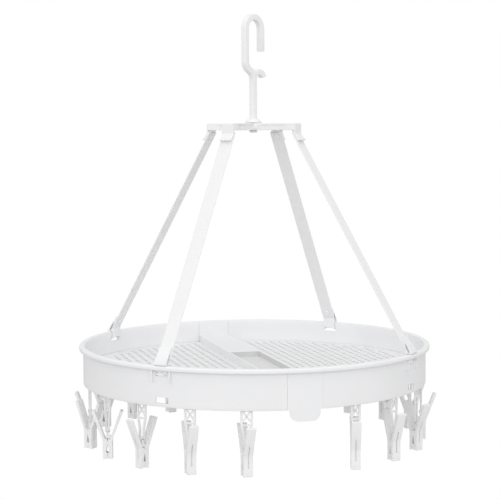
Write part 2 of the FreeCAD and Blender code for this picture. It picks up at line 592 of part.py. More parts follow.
def make_links():
    azimuths = peg_azimuths()
    halves = {"right": azimuths[:PEGS_PER_SIDE], "left": azimuths[PEGS_PER_SIDE:]}
    for side, places in halves.items():
        loops = []
        for number, azimuth in enumerate(places, start=1):
            body = make_link("%sLoop%d" % (side.title(), number))
            body.Placement = place(turn=azimuth).multiply(place(x=DIM["PegRadius"], z=level(0)))
            loops.append(body)
        group = doc.addObject("Part::Compound", "%sLoops" % side.title())
        group.Links = loops
        finish(group, side + "_peg_loops")


def make_peg_half(name):
    """Lever of a peg on its +X side; its pivot, the spring, is at the origin and lies along Y."""
    body = new_body(name)
    outline = new_sketch(body, name + "Outline", "side")
    loop(outline, [("PegGap", "PegBottom + PegArch"), ("PegHalfDepth - PegToe", "PegBottom"),
                   ("PegHalfDepth", "PegBottom + PegToe"), ("PegHalfDepth", "PegShoulder"),
                   ("HandleReach", "HandleTop - HandleSlope"), ("HandleReach - HandleThickness", "HandleTop"),
                   ("HandleFoot", "HandleFootLevel"), ("PegGap", "JawTop"), ("PegGap", "FulcrumLevel"),
                   ("PegGap + SlitStep", "SlitTop"), ("SlitWidth", "SlitLevel"),
                   ("PegGap", "SlitLevel - SlitStep")])
    pad(body, name + "Pad", outline, "PegWidth")
    seat = new_sketch(body, name + "Seat", "side")
    ring_outline(seat, "SeatRadius")
    pocket(body, name + "SeatPocket", seat)
    groove = new_sketch(body, name + "Groove", "end")
    loop(groove, [("-GrooveHalf", "GrooveLow"), ("GrooveHalf", "GrooveLow"), ("GrooveHalf", "GrooveHigh"),
                  ("-GrooveHalf", "GrooveHigh")])
    pocket(body, name + "GroovePocket", groove, midplane=False, reverse=True)
    return body


def peg_placement(azimuth, twist):
    at_pivot = place(x=DIM["PegRadius"], z=level(DIM["PegPivotLevel"]))
    return place(turn=azimuth).multiply(at_pivot).multiply(place(turn=twist))


def make_pegs():
    rise = DIM["PegEyeLevel"] - DIM["PegPivotLevel"]
    for number, azimuth in enumerate(peg_azimuths(), start=1):
        name = "Peg%02d" % number
        twist = PEG_TWIST.get(number, 0.0)
        spot = peg_placement(azimuth, twist)
        square = place(turn=-twist)      # the eye stays square to its loop
        outer = make_peg_half(name + "Outer")
        outer.Placement = spot
        finish(outer, "peg_%02d_outer" % number)
        lever = make_peg_half(name + "Inner")
        lever.Placement = place(turn=180)
        width = DIM["EyeWidth"]
        head = cylinder(name + "EyeHead", "EyeRadius", "EyeWidth", square.multiply(lying(0, -width / 2, rise)))
        neck = box(name + "EyeNeck", "2 * EyeNeck", "EyeWidth", "PegEyeLevel - PegPivotLevel - EyeLift",
                   place(x=-DIM["EyeNeck"], y=-width / 2, z=DIM["EyeLift"]))
        foot = box(name + "EyeFoot", "HandleFoot + EyeNeck + EyeFootReach", "EyeWidth", "EyeFootHeight",
                   place(x=-DIM["HandleFoot"] - DIM["EyeFootReach"], y=-width / 2, z=DIM["EyeLift"]))
        hole = cylinder(name + "EyeHole", "EyeBore", "2 * EyeWidth", square.multiply(lying(0, -width, rise)))
        moulding = cut(name + "Lever", fuse(name + "LeverBlank", [lever, head, neck, foot]), hole)
        blank = cylinder(name + "CoilBlank", "SpringRadius", "SpringWidth", lying(0, -DIM["SpringWidth"] / 2, 0))
        bore = cylinder(name + "CoilBore", "SpringBore", "2 * SpringWidth", lying(0, -DIM["SpringWidth"], 0))
        coil = cut(name + "Coil", blank, bore)
        group = doc.addObject("Part::Compound", name + "Half")
        group.Links = [moulding, coil]
        group.Placement = spot
        finish(group, "peg_%02d_inner" % number)


# ---------------------------------------------------------------- build and write

make_hook()
make_swivel_pin()
make_hub()
make_straps()
make_upper_clips()
make_lower_clips()
tray_ring = make_ring()
make_walls(tray_ring)
make_bridge(tray_ring)
make_floors()
make_links()
make_pegs()
doc.recompute()

for item in doc.Objects:
    if "Invalid" in item.State or "Error" in item.State:
        raise RuntimeError("failed object: " + item.Name)
for node, thing in sub_parts:
    if thing.Shape.isNull() or not thing.Shape.isValid():
        raise RuntimeError("bad shape: " + node)

os.makedirs("parts", exist_ok=True)
for node, thing in sub_parts:
    thing.Shape.exportStep("parts/%s.step" % node)
    print("%-16s solids %d volume %.1f" % (node, len(thing.Shape.Solids), thing.Shape.Volume))
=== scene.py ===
import json
import math

import bmesh
import bpy
from mathutils import Matrix, Vector


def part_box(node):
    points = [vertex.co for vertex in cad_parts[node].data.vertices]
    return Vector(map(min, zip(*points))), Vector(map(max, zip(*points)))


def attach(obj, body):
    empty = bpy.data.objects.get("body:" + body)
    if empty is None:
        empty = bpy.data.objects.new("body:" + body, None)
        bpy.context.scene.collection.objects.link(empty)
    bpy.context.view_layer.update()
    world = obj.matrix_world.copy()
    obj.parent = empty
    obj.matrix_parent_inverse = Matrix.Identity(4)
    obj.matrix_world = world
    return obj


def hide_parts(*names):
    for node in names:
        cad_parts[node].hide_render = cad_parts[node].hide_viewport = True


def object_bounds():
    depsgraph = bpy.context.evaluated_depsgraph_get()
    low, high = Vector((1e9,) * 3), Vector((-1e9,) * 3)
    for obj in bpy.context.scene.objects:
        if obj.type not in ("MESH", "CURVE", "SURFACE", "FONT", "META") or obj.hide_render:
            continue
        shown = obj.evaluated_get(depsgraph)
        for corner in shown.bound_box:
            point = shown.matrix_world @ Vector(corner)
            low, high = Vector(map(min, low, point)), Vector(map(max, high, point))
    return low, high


# A hanging round drying tray: swivel hook, hub, webbing straps, perforated tray and pegs, all in white
# plastic. Metres, in the frame of the CAD model: the origin is the seat of the hook and +Z is up.

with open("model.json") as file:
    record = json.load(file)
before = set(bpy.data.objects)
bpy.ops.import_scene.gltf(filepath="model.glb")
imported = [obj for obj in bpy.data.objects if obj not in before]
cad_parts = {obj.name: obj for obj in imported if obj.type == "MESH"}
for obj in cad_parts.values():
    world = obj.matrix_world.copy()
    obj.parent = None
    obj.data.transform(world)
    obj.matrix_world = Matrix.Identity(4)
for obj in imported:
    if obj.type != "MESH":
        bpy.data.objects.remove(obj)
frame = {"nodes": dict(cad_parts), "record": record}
cad_box = [list(corner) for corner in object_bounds()]
JOINTS = {joint["name"]: joint for joint in frame["record"]["behaviour"]["joints"]}

MM = 0.001
TINY = 1e-9                   # slack for comparing lengths and shares
AZIMUTHS = (-135.0, -45.0, 45.0, 135.0)
STRAP_WIDTH = 16 * MM
STRAP_THICKNESS = 1.3 * MM


# ---------------------------------------------------------------- materials

def new_material(name):
    material = bpy.data.materials.new(name)
    material.use_nodes = True
    nodes = material.node_tree.nodes
    links = material.node_tree.links
    return material, nodes, links, nodes["Principled BSDF"]


def noise(nodes, links, source, scale, detail, roughness=0.5):
    texture = nodes.new("ShaderNodeTexNoise")
    texture.inputs["Scale"].default_value = scale
    texture.inputs["Detail"].default_value = detail
    texture.inputs["Roughness"].default_value = roughness
    links.new(source, texture.inputs["Vector"])
    return texture.outputs["Fac"]


def remap(nodes, links, value, low, high):
    ranged = nodes.new("ShaderNodeMapRange")
    ranged.inputs["From Min"].default_value = 0.3
    ranged.inputs["From Max"].default_value = 0.7
    ranged.inputs["To Min"].default_value = low
    ranged.inputs["To Max"].default_value = high
    links.new(value, ranged.inputs["Value"])
    return ranged.outputs["Result"]


def tint(nodes, links, value, dark, light):
    ramp = nodes.new("ShaderNodeValToRGB")
    ramp.color_ramp.elements[0].position = 0.3
    ramp.color_ramp.elements[1].position = 0.7
    ramp.color_ramp.elements[0].color = (*dark, 1)
    ramp.color_ramp.elements[1].color = (*light, 1)
    links.new(value, ramp.inputs["Fac"])
    return ramp.outputs["Color"]


def bump(nodes, links, shader, height, strength, distance):
    node = nodes.new("ShaderNodeBump")
    node.inputs["Strength"].default_value = strength
    node.inputs["Distance"].default_value = distance
    links.new(height, node.inputs["Height"])
    links.new(node.outputs["Normal"], shader.inputs["Normal"])


def moulded_plastic(name, shade, gloss, grain, coolness=0.012, painted_upright_shade=1.0):
    """White moulded plastic: faint flow marks in the colour, a fine grain and uneven gloss.

    The last argument paints shade into the colour of faces that stand upright, such as the sides of the holes
    in the floor: they are darkened in place of the shade that falls in those hollows.
    """
    material, nodes, links, shader = new_material(name)
    spot = nodes.new("ShaderNodeTexCoord").outputs["Object"]
    flow = noise(nodes, links, spot, 18.0, 3.0)
    light = (shade + 0.012, shade + 0.014, shade + 0.012 + coolness)
    dark = (shade - 0.012, shade - 0.010, shade - 0.012 + coolness)
    colour = tint(nodes, links, flow, dark, light)
    # Painted shade: upright faces get a darker colour, standing in for the shade in hollows.
    if painted_upright_shade < 1.0:
        facing = nodes.new("ShaderNodeSeparateXYZ")
        links.new(nodes.new("ShaderNodeNewGeometry").outputs["True Normal"], facing.inputs["Vector"])
        flatness = nodes.new("ShaderNodeMath")
        flatness.operation = "ABSOLUTE"
        links.new(facing.outputs["Z"], flatness.inputs[0])
        mix = nodes.new("ShaderNodeMix")
        mix.data_type = "RGBA"
        links.new(flatness.outputs[0], mix.inputs["Factor"])
        mix.inputs["A"].default_value = (shade * painted_upright_shade, shade * painted_upright_shade, shade * painted_upright_shade, 1)
        links.new(colour, mix.inputs["B"])
        colour = mix.outputs["Result"]
    links.new(colour, shader.inputs["Base Color"])
    smear = noise(nodes, links, spot, 95.0, 4.0)
    links.new(remap(nodes, links, smear, gloss - 0.05, gloss + 0.06), shader.inputs["Roughness"])
    fine = noise(nodes, links, spot, 2600.0, 2.0, 0.6)
    bump(nodes, links, shader, fine, grain, 0.00012)
    shader.inputs["IOR"].default_value = 1.49
    return material


def webbing_material():
    """Flat woven webbing: a plain weave with its ribs across the strap, and a little fuzz."""
    material, nodes, links, shader = new_material("webbing_weave")
    uv = nodes.new("ShaderNodeTexCoord").outputs["UV"]
    waves = []
    for direction, scale in (("X", 285.0), ("Y", 190.0)):
        wave = nodes.new("ShaderNodeTexWave")
        wave.bands_direction = direction
        wave.inputs["Scale"].default_value = scale
        wave.inputs["Distortion"].default_value = 0.4
        wave.inputs["Detail"].default_value = 1.0
        links.new(uv, wave.inputs["Vector"])
        waves.append(wave.outputs["Fac"])
    weave = nodes.new("ShaderNodeMath")
    weave.operation = "MULTIPLY"
    links.new(waves[0], weave.inputs[0])
    links.new(waves[1], weave.inputs[1])
    fuzz = noise(nodes, links, uv, 2200.0, 3.0, 0.7)
    height = nodes.new("ShaderNodeMath")
    height.operation = "MULTIPLY_ADD"
    links.new(fuzz, height.inputs[0])
    height.inputs[1].default_value = 0.2
    links.new(weave.outputs[0], height.inputs[2])
    links.new(tint(nodes, links, height.outputs[0], (0.84, 0.84, 0.846), (0.88, 0.88, 0.886)),
              shader.inputs["Base Color"])
    bump(nodes, links, shader, height.outputs[0], 0.25, 0.00012)
    shader.inputs["Roughness"].default_value = 0.85
    shader.inputs["Sheen Weight"].default_value = 0.25
    shader.inputs["Sheen Roughness"].default_value = 0.5
    return material


PLASTIC = moulded_plastic("tray_plastic", 0.86, 0.42, 0.25)
# The sides of the floor's holes are coloured darker: painted shade in the holes.
FLOOR_PLASTIC = moulded_plastic("floor_plastic", 0.85, 0.5, 0.35, painted_upright_shade=0.72)
# The well's darker colour is painted shade of the recess, and its upright sides get more painted shade.
WELL_PLASTIC_PAINTED_SHADE = moulded_plastic("well_plastic_painted_shade", 0.75, 0.6, 0.5, painted_upright_shade=0.9)
HOOK_PLASTIC = moulded_plastic("hook_plastic", 0.875, 0.3, 0.15, coolness=0.0)
PEG_PLASTIC = moulded_plastic("peg_plastic", 0.875, 0.36, 0.2, coolness=0.0)
WEBBING = webbing_material()
FINISHES = {"white_plastic": PLASTIC, "floor_plastic": FLOOR_PLASTIC, "hook_plastic": HOOK_PLASTIC,
            "peg_plastic": PEG_PLASTIC, "webbing": WEBBING}


def paint_frame():
    slots = {entry["node"]: entry["material_slot"] for entry in frame["record"]["subparts"]}
    for node, item in frame["nodes"].items():
        finish = FINISHES[slots[node]]
        item.data.materials.clear()
        item.data.materials.append(finish)


# ---------------------------------------------------------------- mesh helpers

def new_object(name, mesh, material):
    item = bpy.data.objects.new(name, mesh)
    bpy.context.scene.collection.objects.link(item)
    mesh.materials.append(material)
    return item


def turned(azimuth):
    return Matrix.Rotation(math.radians(azimuth), 4, "Z")


# ---------------------------------------------------------------- straps

def strap_ends():
    """Foot and head of a strap's middle line in the radial plane, from the box of a strap at 45 degrees."""
    low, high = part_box("strap_3")
    reach = math.sqrt(2)
    outer = high[0] * reach - STRAP_WIDTH / 2
    inner = low[0] * reach + STRAP_WIDTH / 2
    lean = math.atan2(outer - inner, high[2] - low[2])
    half = STRAP_THICKNESS / 2
    foot = Vector((outer - half * math.cos(lean), 0, low[2] + half * math.sin(lean)))
    head = Vector((inner + half * math.cos(lean), 0, high[2] - half * math.sin(lean)))
    return foot, head


def webbing_section(steps=6):
    """Closed outline of the webbing: flat faces, round selvedges, as (across, out) pairs."""
    half_width, half = STRAP_WIDTH / 2, STRAP_THICKNESS / 2
    flat = half_width - half
    outline = [(-flat + 2 * flat * i / 16, half) for i in range(17)]
    outline += [(flat + half * math.sin(math.pi * i / steps), half * math.cos(math.pi * i / steps))
                for i in range(1, steps)]
    outline += [(flat - 2 * flat * i / 16, -half) for i in range(17)]
    outline += [(-flat - half * math.sin(math.pi * i / steps), -half * math.cos(math.pi * i / steps))
                for i in range(1, steps)]
    return outline


def make_strap(number, azimuth):
    """Straight taut length of webbing, with its weave laid out by arc length."""
    foot, head = strap_ends()
    line = head - foot
    up = line.normalized()
    out = Vector((up.z, 0, -up.x))
    side = Vector((0, 1, 0))
    section = webbing_section()
    rows = 140
    bm = bmesh.new()
    uv = bm.loops.layers.uv.new("weave")
    rings = []
    for row in range(rows + 1):
        spot = foot + line * row / rows
        rings.append([bm.verts.new(spot + side * across + out * outward) for across, outward in section])
    count = len(section)
    run = [0.0]
    for i in range(count):
        a, b = section[i], section[(i + 1) % count]
        run.append(run[-1] + math.hypot(b[0] - a[0], b[1] - a[1]))
    for row in range(rows):
        for i in range(count):
            j = (i + 1) % count
            face = bm.faces.new((rings[row][i], rings[row][j], rings[row + 1][j], rings[row + 1][i]))
            face.smooth = True
            corners = ((run[i], row), (run[i + 1], row), (run[i + 1], row + 1), (run[i], row + 1))
            for corner, (u, v) in zip(face.loops, corners):
                corner[uv].uv = (u, v * line.length / rows)
    bm.faces.new(rings[0])
    bm.faces.new(list(reversed(rings[-1])))
    bmesh.ops.recalc_face_normals(bm, faces=bm.faces)
    bm.transform(turned(azimuth))
    mesh = bpy.data.meshes.new("webbing_%d" % number)
    bm.to_mesh(mesh)
    bm.free()
    strap = new_object("webbing_%d" % number, mesh, WEBBING)
    node = "strap_%d" % number
    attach(strap, "tray")
    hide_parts(node)


# ---------------------------------------------------------------- tray

# Levels are measured from the rim, unless RIM_LEVEL is added to them.
LIP_RADIUS = 200 * MM
WALL_RADIUS = 195.6 * MM
WALL_INSIDE = 193.6 * MM
LEDGE_RADIUS = 189.6 * MM
LIP_LOW = -5.0 * MM
RIM_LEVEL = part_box("left_wall")[1][2]
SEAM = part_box("right_wall")[0][0]
SKIRT_LOW = -43.6 * MM
SLOT = (17.0 * MM, -11.5 * MM, -7.3 * MM)             # width, low and high level of the strap slots
WINDOW = (15.8 * MM, -39.7 * MM, -33.4 * MM)          # the same for the skirt windows
RIB_OFFSET, RIB_HALF = 11.0 * MM, 0.8 * MM            # a rib stands on each side of a slot
RIB_LOW, RIB_HIGH, RIB_DEPTH = -17.0 * MM, -4.8 * MM, 3.0 * MM

BRIDGE_HALF = 19.1 * MM
BRIDGE_TOP = RIM_LEVEL - 18.0 * MM
BRIDGE_BOTTOM = RIM_LEVEL - 28.6 * MM
BRIDGE_REACH = WALL_INSIDE + 0.3 * MM
WELL_HALF, WELL_NEAR, WELL_FAR = 17.4 * MM, -150 * MM, 42 * MM
WELL_FLOOR = RIM_LEVEL - 24.0 * MM
RAIL_HALF, RAIL_REACH = 28 * MM, 186 * MM             # plate under the bridge that carries the floors
TAB_HALF, TAB_LOW, TAB_CORNER = 16.5 * MM, -55.7 * MM, 9.0 * MM
SINK = 0.4 * MM                                       # depth of a joined piece inside its neighbour


def fillet(centre_r, centre_z, radius, start, end, steps=5):
    """Points of a round corner of the wall's section, between two angles in degrees."""
    angles = [math.radians(start + (end - start) * i / steps) for i in range(steps + 1)]
    return [(centre_r + radius * math.cos(a), centre_z + radius * math.sin(a)) for a in angles]


def lip_section():
    """Rolled lip as (radius, level) pairs, from the outside of the wall over to the inside."""
    nip = 0.5 * MM
    lip = fillet(WALL_RADIUS + nip, LIP_LOW - nip, nip, 180, 90, 3)
    lip += fillet(LIP_RADIUS - 1.1 * MM, LIP_LOW + 1.1 * MM, 1.1 * MM, -90, 0)
    lip += fillet(LIP_RADIUS - 2.2 * MM, -2.2 * MM, 2.2 * MM, 0, 90, 7)
    return lip + fillet(WALL_INSIDE + 1.0 * MM, -1.0 * MM, 1.0 * MM, 90, 180, 4)


def wall_section():
    """Closed section of the wall as (radius, level) pairs: skirt, rolled lip, inside face and floor ledge."""
    ledge, ledge_low = -28.2 * MM, -30.0 * MM
    nip = 0.5 * MM
    outside = fillet(WALL_RADIUS - nip, SKIRT_LOW + nip, nip, -90, 0, 3)
    outside += [(WALL_RADIUS, WINDOW[1]), (WALL_RADIUS, WINDOW[2]), (WALL_RADIUS, SLOT[1]),
                (WALL_RADIUS, SLOT[2])]
    inside = lip_section()
    inside += [(WALL_INSIDE, SLOT[2]), (WALL_INSIDE, SLOT[1])]
    inside += fillet(WALL_INSIDE - nip, ledge + nip, nip, 0, -90, 3)
    inside += fillet(LEDGE_RADIUS + nip, ledge - nip, nip, 90, 180, 3)
    inside += fillet(LEDGE_RADIUS + nip, ledge_low + nip, nip, 180, 270, 3)
    inside += [(WALL_INSIDE, ledge_low), (WALL_INSIDE, WINDOW[2]), (WALL_INSIDE, WINDOW[1])]
    inside += fillet(WALL_INSIDE + nip, SKIRT_LOW + nip, nip, 180, 270, 3)
    return outside + inside


def add_box(bm, low, high, matrix):
    """A box between two corners, moved by a matrix, added to a mesh."""
    size = Vector(high) - Vector(low)
    middle = (Vector(high) + Vector(low)) / 2
    placed = matrix @ Matrix.Translation(middle) @ Matrix.Diagonal((*size, 1))
    bmesh.ops.create_cube(bm, size=1.0, matrix=placed)


def sweep_wall(bm, section, centre, half_angle, count, holes=()):
    """Sweep a section of the wall round the tray axis.

    centre is an azimuth in degrees; half_angle(radius) gives the half sweep in radians, so that both
    ends are flat; holes are (azimuth from the centre, width, low, high).
    """
    levels = [z for _, z in section]
    shares = [i / count for i in range(count + 1)]
    spans = []
    for azimuth, width, low, high in holes:
        edges = []
        for side in (-1, 1):
            angle = math.radians(azimuth) + side * math.asin(width / 2 / WALL_RADIUS)
            edges.append((angle / half_angle(WALL_RADIUS) + 1) / 2)
        spans.append((edges, low, high))
    cuts = [share for edges, _, _ in spans for share in edges]
    shares = [share for share in shares if all(abs(share - cut) > 0.3 / count for cut in cuts)]
    shares = sorted(shares + cuts)
    columns = []
    for share in shares:
        column = []
        for radius, z in section:
            angle = math.radians(centre) + (2 * share - 1) * half_angle(radius)
            column.append(bm.verts.new((radius * math.cos(angle), radius * math.sin(angle), RIM_LEVEL + z)))
        columns.append(column)

    def is_open(j, a, b):
        for edges, low, high in spans:
            within = edges[0] - TINY <= shares[j] and shares[j + 1] <= edges[1] + TINY
            lower, upper = sorted((levels[a], levels[b]))
            if within and lower >= low - TINY and upper <= high + TINY:
                return True
        return False

    size = len(section)
    for j in range(len(shares) - 1):
        for a in range(size):
            b = (a + 1) % size
            if not is_open(j, a, b):
                bm.faces.new((columns[j][a], columns[j + 1][a], columns[j + 1][b], columns[j][b]))
    for edges, low, high in spans:
        lows = [i for i in range(size) if abs(levels[i] - low) < TINY]
        highs = [i for i in range(size) if abs(levels[i] - high) < TINY]
        first, last = shares.index(edges[0]), shares.index(edges[1])
        for pair in (lows, highs):
            for j in range(first, last):
                bm.faces.new((columns[j][pair[0]], columns[j + 1][pair[0]], columns[j + 1][pair[1]],
                              columns[j][pair[1]]))
        for j in (first, last):
            column = columns[j]
            bm.faces.new((column[lows[0]], column[highs[0]], column[highs[1]], column[lows[1]]))
    bm.faces.new(columns[0])
    bm.faces.new(list(reversed(columns[-1])))


def finish_piece(bm, name, material, bevel=0.25 * MM, smooth_angle=40):
    """Make an object of a mesh, with eased edges and smooth shading between soft angles."""
    bmesh.ops.recalc_face_normals(bm, faces=bm.faces)
    for face in bm.faces:
        face.smooth = True
    sharp = math.radians(smooth_angle)
    for edge in bm.edges:
        if len(edge.link_faces) == 2 and edge.calc_face_angle() > sharp:
            edge.smooth = False
    mesh = bpy.data.meshes.new(name)
    bm.to_mesh(mesh)
    bm.free()
    item = new_object(name, mesh, material)
    if bevel:
        ease_edges(item, bevel)
    return item


def ease_edges(item, width, segments=2):
    modifier = item.modifiers.new("eased_edges", "BEVEL")
    modifier.width = width
    modifier.segments = segments
    modifier.limit_method = "ANGLE"
    modifier.angle_limit = math.radians(40)
    modifier.use_clamp_overlap = True
    modifier.harden_normals = False


def peg_spots():
    """Azimuth of each peg's loop in degrees, by peg number, from the axis of its swing."""
    spots = {}
    for number in range(1, 19):
        axis = JOINTS["peg_%02d_swing" % number]["axis"]
        spots[number] = math.degrees(math.atan2(-axis[0], axis[1]))
    return spots


def half_wall(radius):
    """Half the sweep of one half of the tray at a radius, in radians: it ends at the flat seam."""
    return math.pi / 2 - math.asin(SEAM / radius)


def half_end(radius):
    """The same for the piece of the rim at an end of the bridge."""
    return math.asin(BRIDGE_HALF / radius)


def make_walls():
    """Both halves of the wall, with the ribs beside the slots and the cleats of the peg loops."""
    for name, centre in (("right", 0.0), ("left", 180.0)):
        bm = bmesh.new()
        holes = [(azimuth, *hole) for azimuth in (-45.0, 45.0) for hole in (SLOT, WINDOW)]
        sweep_wall(bm, wall_section(), centre, half_wall, 176, holes)
        for azimuth in (-45.0, 45.0):
            for side in (-1, 1):
                middle = side * RIB_OFFSET
                add_box(bm, (WALL_RADIUS - SINK, middle - RIB_HALF, RIM_LEVEL + RIB_LOW),
                        (WALL_RADIUS + RIB_DEPTH, middle + RIB_HALF, RIM_LEVEL + RIB_HIGH),
                        turned(centre + azimuth))
        for azimuth in peg_spots().values():
            if math.cos(math.radians(azimuth - centre)) > 0:
                add_cleat(bm, turned(azimuth) @ Matrix.Translation((WALL_INSIDE, 0, RIM_LEVEL)))
        wall = finish_piece(bm, name + "_tray_wall", PLASTIC, 0.2 * MM)
        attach(wall, "tray")
        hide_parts(name + "_wall")


def add_cleat(bm, matrix):
    """Small hooked shelf on the inside of the skirt that holds a peg loop."""
    reach, half = -6.2 * MM, 3 * MM
    add_box(bm, (reach, -half, -38.9 * MM), (SINK, half, -37.3 * MM), matrix)
    add_box(bm, (reach, -half, -37.4 * MM), (-4.9 * MM, half, -34.9 * MM), matrix)


def carve(item, draw):
    """Take what draw() adds to an empty mesh out of an object."""
    bm = bmesh.new()
    draw(bm)
    bmesh.ops.recalc_face_normals(bm, faces=bm.faces)
    mesh = bpy.data.meshes.new("cutter")
    bm.to_mesh(mesh)
    bm.free()
    cutter = bpy.data.objects.new("cutter", mesh)
    bpy.context.scene.collection.objects.link(cutter)
    modifier = item.modifiers.new("cut", "BOOLEAN")
    modifier.operation = "DIFFERENCE"
    modifier.solver = "EXACT"
    modifier.object = cutter
    apply_modifiers(item)
    bpy.data.objects.remove(cutter)
    bpy.data.meshes.remove(mesh)


def apply_modifiers(item):
    evaluated = item.evaluated_get(bpy.context.evaluated_depsgraph_get())
    shaped = bpy.data.meshes.new_from_object(evaluated)
    before = item.data
    item.modifiers.clear()
    item.data = shaped
    bpy.data.meshes.remove(before)


def prism(bm, outline, low, high, matrix=Matrix()):
    """Upright prism on an outline of (x, y) pairs."""
    rings = [[bm.verts.new(matrix @ Vector((x, y, z))) for x, y in outline] for z in (low, high)]
    bm.faces.new(list(reversed(rings[0])))
    bm.faces.new(rings[1])
    count = len(outline)
    for i in range(count):
        j = (i + 1) % count
        bm.faces.new((rings[0][i], rings[0][j], rings[1][j], rings[1][i]))


def end_arc(half_width, radius, turn, count=12):
    """Points of the round end of a strip of the tray, from one side to the other."""
    reach = math.asin(half_width / radius)
    angles = [math.radians(turn) - reach + 2 * reach * i / count for i in range(count + 1)]
    return [(radius * math.cos(a), radius * math.sin(a)) for a in angles]


def cut_well(bm):
    """Space of the well, open above the bridge."""
    add_box(bm, (-WELL_HALF, WELL_NEAR, WELL_FLOOR), (WELL_HALF, WELL_FAR, BRIDGE_TOP + 5 * MM), Matrix())


def is_in_well(spot):
    """Whether the middle of a face lies on the floor or the sides of the well."""
    near = 0.1 * MM
    return (abs(spot.x) < WELL_HALF + near and WELL_NEAR - near < spot.y < WELL_FAR + near
            and WELL_FLOOR - MM < spot.z < BRIDGE_TOP - MM)


def make_bridge():
    """Beam with its well, the plate under the floors, and a piece of the rim with a tab at each end."""
    bm = bmesh.new()
    outline = end_arc(BRIDGE_HALF, BRIDGE_REACH, -90) + end_arc(BRIDGE_HALF, BRIDGE_REACH, 90)
    prism(bm, outline, BRIDGE_BOTTOM, BRIDGE_TOP)
    beam = finish_piece(bm, "bridge_beam", PLASTIC, 0.5 * MM)
    carve(beam, cut_well)
    bm = bmesh.new()
    bm.from_mesh(beam.data)
    bpy.data.objects.remove(beam)
    for turn in (-90.0, 90.0):
        sweep_wall(bm, lip_section(), turn, half_end, 24)
        add_end(bm, turn)
    add_box(bm, (-RAIL_HALF, -RAIL_REACH, RIM_LEVEL - 29.9 * MM),
            (RAIL_HALF, RAIL_REACH, RIM_LEVEL - 28.1 * MM), Matrix())
    # Faces of the well take the darker material: painted shade of the recess.
    for face in bm.faces:
        if is_in_well(face.calc_center_median()):
            face.material_index = 1
    bridge = finish_piece(bm, "bridge", PLASTIC, 0.2 * MM)
    bridge.data.materials.append(WELL_PLASTIC_PAINTED_SHADE)
    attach(bridge, "tray")
    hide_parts("centre_bridge")


def add_end(bm, turn):
    """End of the bridge: a piece of the wall, up to the inside of the lip, and the tab below it."""
    top = -1.1 * MM
    level, straight = TAB_LOW + TAB_CORNER, TAB_HALF - TAB_CORNER
    quarter = [math.pi / 2 * i / 8 for i in range(9)]
    outline = [(-BRIDGE_HALF, top), (-BRIDGE_HALF, SKIRT_LOW), (-TAB_HALF, SKIRT_LOW), (-TAB_HALF, level)]
    outline += [(-straight - TAB_CORNER * math.cos(a), level - TAB_CORNER * math.sin(a)) for a in quarter[1:]]
    outline += [(straight * (i / 3 - 1), TAB_LOW) for i in range(1, 6)]
    outline += [(straight + TAB_CORNER * math.sin(a), level - TAB_CORNER * math.cos(a)) for a in quarter]
    outline += [(TAB_HALF, SKIRT_LOW), (BRIDGE_HALF, SKIRT_LOW), (BRIDGE_HALF, top)]
    part = bmesh.new()
    prism(part, outline, 0, WALL_RADIUS - WALL_INSIDE)
    for i in range(1, 12):
        cut_at = -BRIDGE_HALF + 2 * BRIDGE_HALF * i / 12
        geometry = part.verts[:] + part.edges[:] + part.faces[:]
        bmesh.ops.bisect_plane(part, geom=geometry, plane_co=(cut_at, 0, 0), plane_no=(1, 0, 0))
    for vert in part.verts:
        angle = math.radians(turn) + vert.co.x / WALL_RADIUS
        radius = WALL_INSIDE + vert.co.z
        vert.co = (radius * math.cos(angle), radius * math.sin(angle), RIM_LEVEL + vert.co.y)
    join(bm, part)


# ---------------------------------------------------------------- hook

HOOK_BAR = 6.7 * MM
HOOK_CORNER = 0.8 * MM
HOOK_CROTCH = -67.5 * MM      # level where the tongue leaves the stem
HOOK_PLANE = 34.5             # azimuth of the hook's plane, in degrees


def hook_route():
    """Middle line of the hook's bar in its own plane, as (point, heading) pairs from the stem up."""
    half, foot = 13.6 * MM, -114.5 * MM
    shank, bight, point = -46.5 * MM, -10.8 * MM, -35.2 * MM
    rise = shank - HOOK_CROTCH
    turn = 2 * math.atan2(half, rise)
    bend = rise / (2 * math.sin(turn))
    route = [((0, foot), math.pi / 2)]
    steps = 12
    for i in range(steps + 1):
        a = turn * i / steps
        route.append(((-bend + bend * math.cos(a), HOOK_CROTCH + bend * math.sin(a)), math.pi / 2 + a))
    for i in range(1, steps + 1):
        a = math.pi + turn * (1 - i / steps)
        route.append(((-half + bend + bend * math.cos(a), shank + bend * math.sin(a)), a - math.pi / 2))
    for i in range(41):
        a = math.pi * (1 - i / 40)
        route.append(((half * math.cos(a), bight + half * math.sin(a)), a - math.pi / 2))
    route.append(((half, point), -math.pi / 2))
    return route


def tongue_route():
    """Middle line of the tongue, which starts inside the stem and curls over."""
    reach = 8.8 * MM
    route = [((0, HOOK_CROTCH - 4 * MM), math.pi / 2)]
    for i in range(21):
        a = math.pi + (math.radians(22) - math.pi) * i / 20
        route.append(((reach + reach * math.cos(a), HOOK_CROTCH + reach * math.sin(a)), a - math.pi / 2))
    return route


def bar_section(side, radius, steps=5):
    """Outline of a square bar with round corners."""
    half = side / 2
    corners = []
    for quarter in range(4):
        centre = math.pi / 4 + quarter * math.pi / 2
        middle = Vector((math.copysign(half - radius, math.cos(centre)),
                         math.copysign(half - radius, math.sin(centre))))
        for i in range(steps + 1):
            a = quarter * math.pi / 2 + math.pi / 2 * i / steps
            corners.append(middle + radius * Vector((math.cos(a), math.sin(a))))
    return corners


